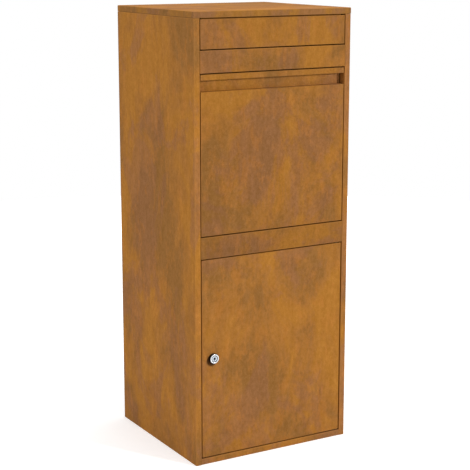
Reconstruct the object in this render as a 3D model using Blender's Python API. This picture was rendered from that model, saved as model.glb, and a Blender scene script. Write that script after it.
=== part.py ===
"""Free-standing parcel mailbox folded from weathered sheet steel.

The box stands on the floor with its front towards -Y. A letter flap at the top pushes inwards, a parcel
flap below it tilts outwards with a hopper behind it, and a locked door closes the compartment at the bottom.
Lengths are in metres and angles in degrees.
"""

import math

import bmesh
import bpy
from mathutils import Matrix, Vector

# Overall size of the box
box_width = 0.415
box_depth = 0.385
box_height = 1.045

# Sheet metal
sheet = 0.0012
fold_radius = 0.0004
fold_steps = 4
seam = 0.0003
running_gap = 0.0025
panel_setback = 0.001

# Frame round the openings
side_band = 0.0145
side_return = 0.022
floor_band = 0.0145
floor_channel_depth = 0.020
rail_depth = 0.020
upper_rail_height = 0.050
middle_rail_height = 0.050
stop_lip_height = 0.0105

# Top cap
cap_skirt = 0.0145
cap_return = 0.012
cap_front_return = 0.007
cap_screw_inset = 0.007
cap_screw_from_front = 0.060
cap_screw_from_back = 0.060
letter_stop_drop = 0.0065
letter_stop_leg = 0.017
letter_stop_end_gap = 0.008
letter_stop_play = 0.0004

# Letter flap
letter_flap_height = 0.066
letter_flap_side_flange = 0.0072
letter_flap_bottom_flange = 0.025
letter_rod_radius = 0.0015
letter_rod_from_front = 0.0046
letter_rod_below_edge = 0.0085

# Parcel flap
grip_height = 0.0385
grip_depth = 0.020
grip_lip = 0.0125
parcel_flap_flange = 0.015
parcel_pivot_from_front = 0.008
parcel_pivot_above_edge = 0.012
parcel_pin_radius = 0.004
parcel_pin_head_radius = 0.0054
parcel_pin_head_length = 0.0024
parcel_pin_reach = 0.0048
clip_width = 0.0019
clip_thickness = 0.0012
parcel_opening_angle = 50.0

# Hopper behind the parcel flap
hopper_tail_radius = 0.205
cheek_below_recess = 0.0235
hopper_tail_angle = -36.0
hopper_arc_steps = 20
hopper_floor_inset = 0.005
hopper_floor_lead = 1.0
hopper_floor_tab = 0.023
stop_tab_along_edge = 0.6
stop_tab_inside_edge = 0.048
stop_tab_length = 0.014
stop_tab_reach = 0.009
hopper_rivets_per_side = 3
hopper_rivet_margin = 0.045
hopper_rivet_from_front = 0.009

# Door and its pivots
door_height = 0.471
door_flange = 0.016
door_pivot_from_edge = 0.012
door_pivot_from_face = 0.006
door_pin_radius = 0.0025
door_pin_shoulder_radius = 0.0045
door_pin_reach = 0.010
stiffener_width = 0.040
stiffener_flange = 0.012
stiffener_depth = 0.010
stiffener_end_gap = 0.020

# Lock
lock_from_side = 0.0455
lock_height = 0.255
bezel_radius = 0.0115
bezel_length = 0.008
bezel_rim = 0.0018
barrel_radius = 0.0095
barrel_length = 0.019
plug_radius = 0.0072
plug_recess = 0.0005
keyway_width = 0.0016
keyway_height = 0.008
keyway_depth = 0.006
nut_across_corners = 0.0275
nut_thickness = 0.004
cam_length = 0.038
cam_width = 0.014
cam_thickness = 0.002
cam_screw_radius = 0.002
cam_screw_head_radius = 0.0045
cam_screw_head_length = 0.0032
cam_screw_length = 0.011

# Inside the box
chute_fall = 0.057
chute_length = 0.246
chute_flange = 0.015
chute_below_rail = 0.0025
guard_lap = 0.022
guard_bottom_angle = 16.5
guard_clearance = 0.007
guard_lip = 0.012

# Fixings
hole_clearance = 0.0003
rivet_radius = 0.0016
rivet_head_radius = 0.0032
rivet_head_height = 0.0008
rivet_tail_radius = 0.0026
rivet_tail_length = 0.0016
screw_radius = 0.002
screw_head_radius = 0.0038
screw_head_height = 0.0024
screw_tip = 0.006
anchor_radius = 0.0045
anchor_side_inset = 0.055
anchor_depth_inset = 0.060
anchor_height_inset = 0.145
round_steps = 24
small_round_steps = 14

# Levels and edges worked out from the sizes above
front_y = -box_depth / 2
half_width = box_width / 2
wall_inside = half_width - sheet
return_face = half_width - side_band
rail_half_width = return_face - seam
panel_half_width = return_face - running_gap
cap_bottom = box_height - cap_skirt
wall_top = cap_bottom - seam
letter_flap_top = cap_bottom - running_gap
letter_flap_bottom = letter_flap_top - letter_flap_height
upper_rail_top = letter_flap_bottom - running_gap
upper_rail_bottom = upper_rail_top - upper_rail_height
parcel_flap_top = upper_rail_bottom - running_gap
door_bottom = floor_band + running_gap
door_top = door_bottom + door_height
middle_rail_bottom = door_top + running_gap
middle_rail_top = middle_rail_bottom + middle_rail_height
parcel_flap_bottom = middle_rail_top + running_gap
parcel_face_top = parcel_flap_top - grip_height
grip_rear = panel_setback + grip_depth
letter_rod_z = letter_flap_top - letter_rod_below_edge
parcel_pivot_z = parcel_flap_bottom + parcel_pivot_above_edge
hopper_top_radius = parcel_face_top - parcel_pivot_z - cheek_below_recess
hopper_growth = hopper_top_radius - hopper_tail_radius
stop_tab_radius = hopper_tail_radius + hopper_growth * stop_tab_along_edge - stop_tab_inside_edge
hopper_floor_radius = hopper_tail_radius - hopper_floor_inset
hopper_floor_angle = hopper_tail_angle + hopper_floor_lead
door_pivot_x = panel_half_width - door_pivot_from_edge
door_pivot_depth = panel_setback + door_pivot_from_face
lock_x = -half_width + lock_from_side
cheek_outside = panel_half_width - sheet - seam
cheek_inside = cheek_outside - sheet
letter_stop_face = panel_setback + letter_flap_side_flange - sheet + seam + letter_stop_play


def inward(depth):
    """The y of a point that lies this far behind the front of the box."""
    return front_y + depth


def steel(name, colour, roughness, metallic):
    """Principled material with one colour."""
    material = bpy.data.materials.new(name)
    material.use_nodes = True
    shader = material.node_tree.nodes["Principled BSDF"]
    shader.inputs["Base Color"].default_value = (*colour, 1.0)
    shader.inputs["Roughness"].default_value = roughness
    shader.inputs["Metallic"].default_value = metallic
    return material


def clear_scene():
    for thing in list(bpy.data.objects):
        bpy.data.objects.remove(thing, do_unlink=True)


def to_world(across, up, level, along):
    """A point of a flat outline, lifted to a level along one of the axes."""
    if along == "x":
        return Vector((level, across, up))
    if along == "y":
        return Vector((across, level, up))
    return Vector((across, up, level))


def new_object(name, points, faces, material, smooth=False):
    """Mesh object whose faces all point outwards."""
    mesh = bpy.data.meshes.new(name)
    shape = bmesh.new()
    vertices = [shape.verts.new(point) for point in points]
    for face in faces:
        shape.faces.new([vertices[index] for index in face])
    bmesh.ops.recalc_face_normals(shape, faces=shape.faces)
    shape.to_mesh(mesh)
    shape.free()
    if smooth:
        mesh.shade_smooth()
        mesh.set_sharp_from_angle(angle=math.radians(35))
    if material is not None:
        mesh.materials.append(material)
    piece = bpy.data.objects.new(name, mesh)
    bpy.context.scene.collection.objects.link(piece)
    return piece


def right_of(direction):
    return Vector((direction.y, -direction.x))


def shifted(path, distance):
    """The path moved to its right by a distance, mitred at its corners."""
    points = [Vector(point) for point in path]
    last = len(points) - 1
    moved = []
    for index, point in enumerate(points):
        before = right_of((point - points[max(index - 1, 0)]).normalized())
        after = right_of((points[min(index + 1, last)] - point).normalized())
        total = before + after
        if index in (0, last):
            moved.append(point + total * distance)
        else:
            moved.append(point + total * (2 * distance / total.length_squared))
    return moved


def folded_sides(path):
    """Both faces of a sheet folded along a path, which follows the face on its left.

    Also gives, for each point of the path, the place of its first point in those faces.
    """
    centre = shifted(path, sheet / 2)
    radius = fold_radius + sheet / 2
    last = len(centre) - 1
    left = []
    right = []
    marks = []

    def add(point, heading):
        side = right_of(heading) * (sheet / 2)
        left.append(point - side)
        right.append(point + side)

    for index, corner in enumerate(centre):
        marks.append(len(left))
        arriving = (corner - centre[max(index - 1, 0)]).normalized()
        leaving = (centre[min(index + 1, last)] - corner).normalized()
        if index in (0, last):
            add(corner, leaving if index == 0 else arriving)
            continue
        turn = math.atan2(arriving.cross(leaving), arriving.dot(leaving))
        if abs(turn) < 0.001:
            add(corner, arriving)
            continue
        hand = math.copysign(1.0, turn)
        start = corner - arriving * (radius * math.tan(abs(turn) / 2))
        middle = start - right_of(arriving) * (hand * radius)
        heading_angle = math.atan2(arriving.y, arriving.x)
        for step in range(fold_steps + 1):
            angle = heading_angle + turn * step / fold_steps
            heading = Vector((math.cos(angle), math.sin(angle)))
            add(middle + right_of(heading) * (hand * radius), heading)
    return left, right, marks


def prism(name, outline, low, high, along, material):
    """A flat outline carried from one level to another."""
    count = len(outline)
    points = [to_world(a, b, low, along) for a, b in outline]
    points += [to_world(a, b, high, along) for a, b in outline]
    faces = [list(range(count)), list(range(count, 2 * count))]
    for index in range(count):
        following = (index + 1) % count
        faces.append([index, following, count + following, count + index])
    return new_object(name, points, faces, material)


def folded_strip(name, path, low, high, along, material):
    """Sheet folded along a path and open at both ends."""
    left, right, _ = folded_sides(path)
    return prism(name, left + right[::-1], low, high, along, material)


def flanged_channel(name, path, first, last, low, high, along, material):
    """Sheet folded along a path, with a flange folded across each end.

    The end flanges fill the section from the path's point first to its point last.
    """
    left, right, marks = folded_sides(path)
    outline = left + right[::-1]
    count = len(outline)
    pocket_start = count - 1 - marks[last]
    pocket_end = count - 1 - marks[first]
    pocket = list(range(pocket_start, pocket_end + 1))
    rim = [index for index in range(count) if not pocket_start < index < pocket_end]
    points = []
    for level in (low, low + sheet, high - sheet, high):
        points += [to_world(a, b, level, along) for a, b in outline]
    inner_low = count
    inner_high = 2 * count
    outer_high = 3 * count
    faces = [list(rim), [outer_high + index for index in rim]]
    faces.append([inner_low + index for index in pocket])
    faces.append([inner_high + index for index in pocket])
    for index in range(count):
        following = (index + 1) % count
        faces.append([inner_low + index, inner_low + following, inner_high + following, inner_high + index])
    for place, index in enumerate(rim):
        following = rim[(place + 1) % len(rim)]
        faces.append([index, following, inner_low + following, inner_low + index])
        faces.append([inner_high + index, inner_high + following, outer_high + following, outer_high + index])
    used = sorted({index for face in faces for index in face})
    renumbered = {index: place for place, index in enumerate(used)}
    kept_points = [points[index] for index in used]
    kept_faces = [[renumbered[index] for index in face] for face in faces]
    return new_object(name, kept_points, kept_faces, material)


def ringed_shell(name, rings, along, material):
    """Shell lofted through rectangles, each (low across, high across, low up, high up, level)."""
    points = []
    for low_a, high_a, low_b, high_b, level in rings:
        for a, b in ((low_a, low_b), (high_a, low_b), (high_a, high_b), (low_a, high_b)):
            points.append(to_world(a, b, level, along))
    faces = [[0, 1, 2, 3], [len(points) - 4 + corner for corner in range(4)]]
    for ring in range(len(rings) - 1):
        for corner in range(4):
            following = (corner + 1) % 4
            start = 4 * ring
            faces.append([start + corner, start + following, start + 4 + following, start + 4 + corner])
    return new_object(name, points, faces, material)


def quarter_fold(radius, rising):
    """Inset and depth along a quarter round, from the flat face to the flange or back."""
    steps = [(radius * (1 - math.sin(turn)), radius * (1 - math.cos(turn)))
             for turn in (math.pi / 2 * step / fold_steps for step in range(fold_steps + 1))]
    return steps if rising else steps[::-1]


def turned(name, profile, centre, along, material, steps=round_steps):
    """Round piece: a profile of (radius, level) turned about an axis through centre."""
    points = []
    loops = []
    for radius, level in profile:
        if radius == 0:
            loops.append([len(points)])
            points.append(to_world(centre[0], centre[1], level, along))
            continue
        loops.append(list(range(len(points), len(points) + steps)))
        for step in range(steps):
            angle = 2 * math.pi * (step + 0.5) / steps
            across = centre[0] + radius * math.cos(angle)
            points.append(to_world(across, centre[1] + radius * math.sin(angle), level, along))
    pairs = list(zip(loops, loops[1:]))
    if profile[0][0] > 0:
        pairs.append((loops[-1], loops[0]))
    faces = []
    for near, far in pairs:
        for step in range(steps):
            following = (step + 1) % steps
            if len(near) == 1:
                faces.append([near[0], far[step], far[following]])
            elif len(far) == 1:
                faces.append([near[step], near[following], far[0]])
            else:
                faces.append([near[step], near[following], far[following], far[step]])
    return new_object(name, points, faces, material, smooth=True)


def cylinder_profile(radius, low, high):
    return [(0, low), (radius, low), (radius, high), (0, high)]


def boolean(target, tool, operation):
    """Cut a piece by a hidden tool, or join the tool to it."""
    tool.hide_render = True
    tool.display_type = "WIRE"
    modifier = target.modifiers.new(tool.name, "BOOLEAN")
    modifier.object = tool
    modifier.operation = operation
    modifier.solver = "EXACT"


def drill(target, name, radius, centres, low, high, along, steps=round_steps):
    """Round holes along one axis, at each of the centres."""
    for number, centre in enumerate(centres, start=1):
        profile = cylinder_profile(radius, low, high)
        tool = turned(f"cut_{name}_{number}", profile, centre, along, None, steps)
        boolean(target, tool, "DIFFERENCE")


def body_axis(name, position, pieces):
    """Empty on a joint's axis, which carries the pieces that move about it."""
    axis = bpy.data.objects.new(name, None)
    axis.location = position
    bpy.context.scene.collection.objects.link(axis)
    for piece in pieces:
        piece.parent = axis
        piece.matrix_parent_inverse = Matrix.Translation(-Vector(position))
    return axis


def cap_screw_places():
    """Centre of each cap screw, on the flanges between the walls and the cap."""
    screw_x = half_width - cap_screw_inset
    depths = (cap_screw_from_front, box_depth - cap_screw_from_back)
    return [(hand * screw_x, inward(depth)) for hand in (-1, 1) for depth in depths]


def hopper_rivet_places():
    """Centre of each rivet between the parcel flap's flanges and the hopper's cheeks."""
    first = parcel_pivot_z + hopper_rivet_margin
    pitch = (hopper_top_radius - 2 * hopper_rivet_margin) / (hopper_rivets_per_side - 1)
    depth = inward(panel_setback + hopper_rivet_from_front)
    return [(depth, first + number * pitch) for number in range(hopper_rivets_per_side)]


def anchor_places(low, high):
    """Four wall or floor anchor holes, inset from the sides and from two edges."""
    across = half_width - anchor_side_inset
    return [(hand * across, edge) for hand in (-1, 1) for edge in (low, high)]


def make_side(hand, material):
    """Side wall with its front band, return, rear flange and end flanges."""
    rear = box_depth - sheet - seam
    outline = [(return_face, rear), (half_width, rear), (half_width, 0), (return_face, 0)]
    outline.append((return_face, side_return))
    path = [(across, inward(depth)) for across, depth in outline]
    if hand < 0:
        path = [(-across, depth) for across, depth in path][::-1]
    name = "left_side" if hand < 0 else "right_side"
    side = flanged_channel(name, path, 0, len(path) - 1, 0, wall_top, "z", material)
    reach = sorted((hand * (return_face - sheet), hand * (return_face + 3 * sheet)))
    rod_hole = [(inward(letter_rod_from_front), letter_rod_z)]
    drill(side, f"{name}_rod", letter_rod_radius + hole_clearance, rod_hole, *reach, "x")
    pin_hole = [(inward(parcel_pivot_from_front), parcel_pivot_z)]
    drill(side, f"{name}_pin", parcel_pin_radius + hole_clearance, pin_hole, *reach, "x")
    screws = [place for place in cap_screw_places() if place[0] * hand > 0]
    drill(side, f"{name}_screw", screw_radius + hole_clearance, screws,
          wall_top - 3 * sheet, wall_top + sheet, "z")
    return side


def make_back_panel(material):
    low = inward(box_depth - sheet)
    high = inward(box_depth)
    outline = [(-half_width, 0), (half_width, 0), (half_width, wall_top), (-half_width, wall_top)]
    panel = prism("back_panel", outline, low, high, "y", material)
    anchors = anchor_places(anchor_height_inset, box_height - anchor_height_inset)
    drill(panel, "back_anchor", anchor_radius, anchors, low - sheet, high + sheet, "y")
    return panel


def make_floor_pan(material):
    """Floor tray whose front edge is the band under the door."""
    rear = box_depth - sheet - seam
    outline = [(rear, floor_band), (rear, 0), (0, 0), (0, floor_band), (floor_channel_depth, floor_band)]
    path = [(inward(depth), up) for depth, up in outline]
    pan = flanged_channel("floor_pan", path, 0, len(path) - 1,
                          -rail_half_width, rail_half_width, "x", material)
    anchors = anchor_places(inward(anchor_depth_inset), inward(box_depth - anchor_depth_inset))
    drill(pan, "floor_anchor", anchor_radius, anchors, -sheet, 2 * sheet, "z")
    pivot = [(door_pivot_x, inward(door_pivot_depth))]
    drill(pan, "floor_pivot", door_pin_radius + hole_clearance, pivot,
          floor_band - 3 * sheet, floor_band + sheet, "z")
    return pan


def make_top_cap(material):
    """Lid: flat top, skirt all round and a return under the skirt."""
    outer = fold_radius + sheet
    inner = fold_radius
    steps = [(inset, inset, depth) for inset, depth in quarter_fold(outer, True)]
    steps += [(inset, inset, cap_skirt - depth) for inset, depth in quarter_fold(outer, False)]
    steps.append((cap_return, cap_front_return, cap_skirt))
    steps.append((cap_return, cap_front_return, cap_skirt - sheet))
    for inset, depth in quarter_fold(inner, True):
        steps.append((sheet + inset, sheet + inset, cap_skirt - sheet - depth))
    for inset, depth in quarter_fold(inner, False):
        steps.append((sheet + inset, sheet + inset, sheet + depth))
    rings = []
    for inset, front_inset, depth in steps:
        reach = half_width - inset
        rings.append((-reach, reach, inward(front_inset), inward(box_depth - inset), box_height - depth))
    cap = ringed_shell("top_cap", rings, "z", material)
    drill(cap, "cap_screw_hole", screw_radius + hole_clearance, cap_screw_places(),
          cap_bottom - sheet, cap_bottom + 3 * sheet, "z")
    return cap


def make_letter_stop(material):
    """Strip under the lid that the letter flap's top edge rests against."""
    top = box_height - sheet - seam
    outline = [(letter_stop_face, letter_flap_top + running_gap - letter_stop_drop)]
    outline += [(letter_stop_face, top), (letter_stop_face + letter_stop_leg, top)]
    path = [(inward(depth), up) for depth, up in outline]
    reach = rail_half_width - letter_stop_end_gap
    return folded_strip("letter_stop", path, -reach, reach, "x", material)


def make_upper_rail(material):
    """Rail between the flaps, with a lip that stops the parcel flap."""
    lip = grip_rear + seam
    outline = [(lip, upper_rail_bottom - stop_lip_height), (lip, upper_rail_bottom)]
    outline += [(rail_depth - sheet, upper_rail_bottom), (0, upper_rail_bottom), (0, upper_rail_top)]
    outline.append((rail_depth, upper_rail_top))
    path = [(inward(depth), up) for depth, up in outline]
    return flanged_channel("upper_rail", path, 2, len(path) - 1,
                           -rail_half_width, rail_half_width, "x", material)


def make_middle_rail(material):
    """Rail between the parcel flap and the door, bored for the door's upper pin."""
    outline = [(rail_depth, middle_rail_bottom), (0, middle_rail_bottom), (0, middle_rail_top)]
    outline.append((rail_depth, middle_rail_top))
    path = [(inward(depth), up) for depth, up in outline]
    rail = flanged_channel("middle_rail", path, 0, len(path) - 1,
                           -rail_half_width, rail_half_width, "x", material)
    pivot = [(door_pivot_x, inward(door_pivot_depth))]
    drill(rail, "rail_pivot", door_pin_radius + hole_clearance, pivot,
          middle_rail_bottom - sheet, middle_rail_bottom + 3 * sheet, "z")
    return rail


def chute_start():
    """Front edge of the chute's upper face."""
    return Vector((side_return + 2 * seam, upper_rail_top - chute_below_rail))


def chute_slope():
    return math.asin(chute_fall / chute_length)


def make_letter_chute(material):
    """Sloping tray that leads letters over the hopper to the back of the box."""
    reach = wall_inside - seam
    path = [(reach, chute_flange), (reach, -sheet), (-reach, -sheet), (-reach, chute_flange)]
    chute = folded_strip("letter_chute", path, 0, chute_length, "y", material)
    start = chute_start()
    chute.location = (0, inward(start.x), start.y)
    chute.rotation_euler = (-chute_slope(), 0, 0)
    return chute


def make_retrieval_guard(material):
    """Sheet that hangs from the chute behind the hopper and keeps hands out of the compartment."""
    slope = chute_slope()
    along = Vector((math.cos(slope), -math.sin(slope)))
    below = Vector((-math.sin(slope), -math.cos(slope))) * (sheet + seam)
    lap_start = chute_start() + along * (chute_length - guard_lap) + below
    lap_end = chute_start() + along * chute_length + below
    angle = math.radians(guard_bottom_angle)
    radius = cheek_radius(guard_bottom_angle) + guard_clearance
    bottom_depth = parcel_pivot_from_front + radius * math.cos(angle)
    bottom = parcel_pivot_z + radius * math.sin(angle)
    outline = [lap_start, lap_end, (bottom_depth, bottom), (bottom_depth + guard_lip, bottom)]
    path = [(inward(depth), up) for depth, up in outline]
    reach = wall_inside - seam
    return folded_strip("retrieval_guard", path, -reach, reach, "x", material)


def make_letter_flap(material):
    """Inward-swinging flap with a deep lower flange that brings it back to its stop."""
    face = panel_setback
    flange_end = letter_stop_face - seam
    outline = [(face + letter_flap_bottom_flange, letter_flap_bottom)]
    outline += [(face + letter_flap_side_flange, letter_flap_bottom), (face, letter_flap_bottom)]
    outline += [(face, letter_flap_top), (flange_end, letter_flap_top)]
    path = [(inward(depth), up) for depth, up in outline]
    flap = flanged_channel("letter_flap", path, 1, len(path) - 1,
                           -panel_half_width, panel_half_width, "x", material)
    centre = [(inward(letter_rod_from_front), letter_rod_z)]
    reach = panel_half_width + sheet
    drill(flap, "letter_flap_rod_hole", letter_rod_radius + hole_clearance, centre, -reach, reach, "x")
    return flap


def make_letter_rod(material):
    reach = wall_inside - seam
    centre = (inward(letter_rod_from_front), letter_rod_z)
    profile = cylinder_profile(letter_rod_radius, -reach, reach)
    return turned("letter_flap_rod", profile, centre, "x", material, small_round_steps)


def make_parcel_flap(material):
    """Tilting panel with a full-width finger recess under its top lip."""
    face = panel_setback
    recess = grip_rear - sheet
    ceiling = parcel_flap_top - sheet
    outline = [(face + parcel_flap_flange, parcel_flap_bottom), (face, parcel_flap_bottom)]
    outline += [(face, parcel_face_top), (face + parcel_flap_flange, parcel_face_top)]
    outline += [(recess, parcel_face_top), (recess, ceiling), (face + sheet, ceiling)]
    outline.append((face + sheet, parcel_flap_top - grip_lip))
    path = [(inward(depth), up) for depth, up in outline]
    flap = flanged_channel("parcel_flap", path, 0, 3, -panel_half_width, panel_half_width, "x", material)
    for hand, side in ((-1, "left"), (1, "right")):
        reach = sorted((hand * (panel_half_width - 2 * sheet), hand * (panel_half_width + sheet)))
        centre = [(inward(parcel_pivot_from_front), parcel_pivot_z)]
        drill(flap, f"parcel_flap_pin_{side}", parcel_pin_radius + hole_clearance, centre, *reach, "x")
        drill(flap, f"parcel_flap_rivet_{side}", rivet_radius + hole_clearance,
              hopper_rivet_places(), *reach, "x", small_round_steps)
    return flap


def cheek_radius(degrees):
    """Radius of the cheek's edge about the pivot, growing evenly from its tail to its top."""
    share = (degrees - hopper_tail_angle) / (90 - hopper_tail_angle)
    return hopper_tail_radius + hopper_growth * share


def cheek_outline():
    """Side of the hopper: its edge stays inside a growing radius about the flap's pivot."""
    pivot = Vector((parcel_pivot_from_front, parcel_pivot_z))
    front = panel_setback + sheet + seam
    foot = parcel_flap_bottom + sheet + seam
    outline = [(front, foot), (front, pivot.y + hopper_top_radius)]
    for step in range(hopper_arc_steps + 1):
        degrees = 90 + (hopper_tail_angle - 90) * step / hopper_arc_steps
        angle = math.radians(degrees)
        radius = cheek_radius(degrees)
        outline.append((pivot.x + radius * math.cos(angle), pivot.y + radius * math.sin(angle)))
    outline.append((rail_depth, foot))
    return [(inward(depth), up) for depth, up in outline]


def stop_tab_angle():
    """Angle of the stop tab at rest, from which it meets the side return when the flap is open."""
    reach = side_return + seam + sheet / 2 - parcel_pivot_from_front
    return math.degrees(math.acos(reach / stop_tab_radius)) - parcel_opening_angle


def make_hopper_cheek(hand, material):
    """One side of the hopper, with its pin hole, rivet holes and bent-out stop tab."""
    side = "left" if hand < 0 else "right"
    levels = sorted((hand * cheek_inside, hand * cheek_outside))
    cheek = prism(f"hopper_cheek_{side}", cheek_outline(), *levels, "x", material)
    angle = math.radians(stop_tab_angle())
    outward = Vector((math.cos(angle), math.sin(angle)))
    across = right_of(outward) * (sheet / 2)
    pivot = Vector((inward(parcel_pivot_from_front), parcel_pivot_z))
    root = pivot + outward * stop_tab_radius
    tip = pivot + outward * (stop_tab_radius + stop_tab_length)
    tab_levels = sorted((hand * (cheek_inside + sheet / 3), hand * (cheek_outside + stop_tab_reach)))
    tab_outline = [root - across, tip - across, tip + across, root + across]
    tab = prism(f"tool_stop_tab_{side}", tab_outline, *tab_levels, "x", None)
    boolean(cheek, tab, "UNION")
    reach = (levels[0] - sheet, levels[1] + sheet)
    drill(cheek, f"cheek_pin_{side}", parcel_pin_radius + hole_clearance, [tuple(pivot)], *reach, "x")
    drill(cheek, f"cheek_rivet_{side}", rivet_radius + hole_clearance,
          hopper_rivet_places(), *reach, "x", small_round_steps)
    return cheek


def make_hopper_floor(material):
    """Slide of the hopper, welded between its cheeks."""
    top = parcel_flap_bottom + 2 * sheet + seam
    angle = math.radians(hopper_floor_angle)
    end_depth = parcel_pivot_from_front + hopper_floor_radius * math.cos(angle)
    end_height = parcel_pivot_z + hopper_floor_radius * math.sin(angle)
    start = panel_setback + 2 * sheet
    outline = [(start, top), (panel_setback + hopper_floor_tab, top), (end_depth, end_height)]
    path = [(inward(depth), up) for depth, up in outline]
    reach = cheek_inside - seam
    return folded_strip("hopper_floor", path, -reach, reach, "x", material)


def make_parcel_pin(hand, material):
    """Headed pin through the cheek, the flap's flange and the frame's return."""
    side = "left" if hand < 0 else "right"
    head = cheek_inside - seam
    end = return_face + sheet + parcel_pin_reach
    profile = [(0, head - parcel_pin_head_length), (parcel_pin_head_radius, head - parcel_pin_head_length)]
    profile += [(parcel_pin_head_radius, head), (parcel_pin_radius, head), (parcel_pin_radius, end), (0, end)]
    profile = [(radius, hand * level) for radius, level in profile]
    centre = (inward(parcel_pivot_from_front), parcel_pivot_z)
    return turned(f"parcel_pin_{side}", profile, centre, "x", material)


def make_pin_clip(hand, material):
    """Ring that keeps the pin in the frame."""
    side = "left" if hand < 0 else "right"
    low = return_face + sheet + seam
    high = low + clip_thickness
    inner = parcel_pin_radius + hole_clearance
    outer = inner + clip_width
    profile = [(inner, hand * low), (outer, hand * low), (outer, hand * high), (inner, hand * high)]
    centre = (inward(parcel_pivot_from_front), parcel_pivot_z)
    return turned(f"pin_clip_{side}", profile, centre, "x", material)


def make_rivet(name, centre, face, direction, material):
    """Blind rivet through two sheets: head outside, tail inside."""
    grip = 2 * sheet + seam
    tail = grip + seam
    profile = [(0, -seam - rivet_head_height), (rivet_head_radius * 0.7, -seam - rivet_head_height * 0.8)]
    profile += [(rivet_head_radius, -seam - rivet_head_height * 0.3), (rivet_head_radius, -seam)]
    profile += [(rivet_radius, -seam), (rivet_radius, tail), (rivet_tail_radius, tail)]
    profile += [(rivet_tail_radius, tail + rivet_tail_length), (0, tail + rivet_tail_length)]
    profile = [(radius, face + direction * level) for radius, level in profile]
    return turned(name, profile, centre, "x", material, small_round_steps)


def make_hopper_rivets(material):
    rivets = []
    for hand, side in ((-1, "left"), (1, "right")):
        for number, centre in enumerate(hopper_rivet_places(), start=1):
            name = f"hopper_rivet_{side}_{number}"
            rivets.append(make_rivet(name, centre, hand * panel_half_width, -hand, material))
    return rivets


def make_cap_screws(material):
    """Screws driven from inside, up through the walls' flanges into the cap."""
    head = wall_top - sheet - seam
    tip = cap_bottom + screw_tip
    profile = [(0, head - screw_head_height), (screw_head_radius * 0.8, head - screw_head_height)]
    profile += [(screw_head_radius, head - screw_head_height * 0.5), (screw_head_radius, head)]
    profile += [(screw_radius, head), (screw_radius, tip - screw_radius), (0, tip)]
    screws = []
    for number, centre in enumerate(cap_screw_places(), start=1):
        screws.append(turned(f"cap_screw_{number}", profile, centre, "z", material, small_round_steps))
    return screws


def make_door_panel(material):
    """Door: a pan with flanges all round, bored for its pins and its lock."""
    outer = fold_radius + sheet
    steps = quarter_fold(outer, True)
    steps += [(0, door_flange), (sheet, door_flange)]
    steps += [(sheet + inset, sheet + depth) for inset, depth in quarter_fold(fold_radius, False)]
    rings = []
    for inset, depth in steps:
        reach = panel_half_width - inset
        rings.append((-reach, reach, door_bottom + inset, door_top - inset, inward(panel_setback + depth)))
    door = ringed_shell("door_panel", rings, "y", material)
    drill(door, "door_lock", barrel_radius + hole_clearance, [(lock_x, lock_height)],
          inward(panel_setback - sheet), inward(panel_setback + 3 * sheet), "y")
    pivot = [(door_pivot_x, inward(door_pivot_depth))]
    hole = door_pin_radius + hole_clearance
    drill(door, "door_pin_low", hole, pivot, door_bottom - sheet, door_bottom + 3 * sheet, "z")
    drill(door, "door_pin_high", hole, pivot, door_top - 3 * sheet, door_top + sheet, "z")
    return door


def make_door_stiffener(material):
    """Hat section welded upright behind the middle of the door."""
    base = panel_setback + 2 * sheet + seam
    half = stiffener_width / 2
    edge = half + stiffener_flange
    crown = base + stiffener_depth
    outline = [(-edge, base), (-half, base), (-half, crown), (half, crown), (half, base), (edge, base)]
    path = [(across, inward(depth)) for across, depth in outline]
    return folded_strip("door_stiffener", path, door_bottom + stiffener_end_gap,
                        door_top - stiffener_end_gap, "z", material)


def make_door_pin(name, inner, gap_start, gap_end, outer, material):
    """Hinge pin with a shoulder that fills the running gap between the door and the frame."""
    profile = [(0, inner), (door_pin_radius, inner), (door_pin_radius, gap_start)]
    profile += [(door_pin_shoulder_radius, gap_start), (door_pin_shoulder_radius, gap_end)]
    profile += [(door_pin_radius, gap_end), (door_pin_radius, outer), (0, outer)]
    return turned(name, profile, (door_pivot_x, inward(door_pivot_depth)), "z", material)


def make_door_pins(material):
    top = make_door_pin("door_pin_top", door_top - door_pin_reach, door_top + seam,
                        middle_rail_bottom - seam, middle_rail_bottom + door_pin_reach, material)
    bottom = make_door_pin("door_pin_bottom", door_bottom + door_pin_reach, door_bottom - seam,
                           floor_band + seam, floor_band - door_pin_reach, material)
    return [top, bottom]


def lock_level(behind_face):
    """The y of a point that lies this far behind the door's outer face."""
    return inward(panel_setback + behind_face)


def make_lock_body(material):
    """Bezel and threaded barrel of the cam lock, bored for its plug."""
    bore = plug_radius + hole_clearance
    front = -seam - bezel_length
    shape = [(bore, front + bezel_rim * 0.4), (bore + bezel_rim * 0.4, front)]
    shape += [(bezel_radius - bezel_rim, front), (bezel_radius - bezel_rim * 0.4, front + bezel_rim * 0.7)]
    shape += [(bezel_radius, front + bezel_rim * 2), (bezel_radius, -seam), (barrel_radius, -seam)]
    shape += [(barrel_radius, barrel_length), (bore, barrel_length)]
    profile = [(radius, lock_level(depth)) for radius, depth in shape]
    return turned("lock_body", profile, (lock_x, lock_height), "y", material, 2 * round_steps)


def make_lock_nut(material):
    """Hexagon nut behind the door's sheet."""
    corners = []
    for corner in range(6):
        angle = math.pi / 3 * corner
        across = lock_x + nut_across_corners / 2 * math.cos(angle)
        corners.append((across, lock_height + nut_across_corners / 2 * math.sin(angle)))
    low = lock_level(sheet + seam)
    high = lock_level(sheet + seam + nut_thickness)
    nut = prism("lock_nut", corners, low, high, "y", material)
    drill(nut, "nut_bore", barrel_radius + hole_clearance, [(lock_x, lock_height)],
          low - sheet, high + sheet, "y")
    return nut


def cam_front():
    """Depth of the cam's front behind the door's face, just clear of the frame's return."""
    return side_return - panel_setback + 2 * seam


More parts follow.
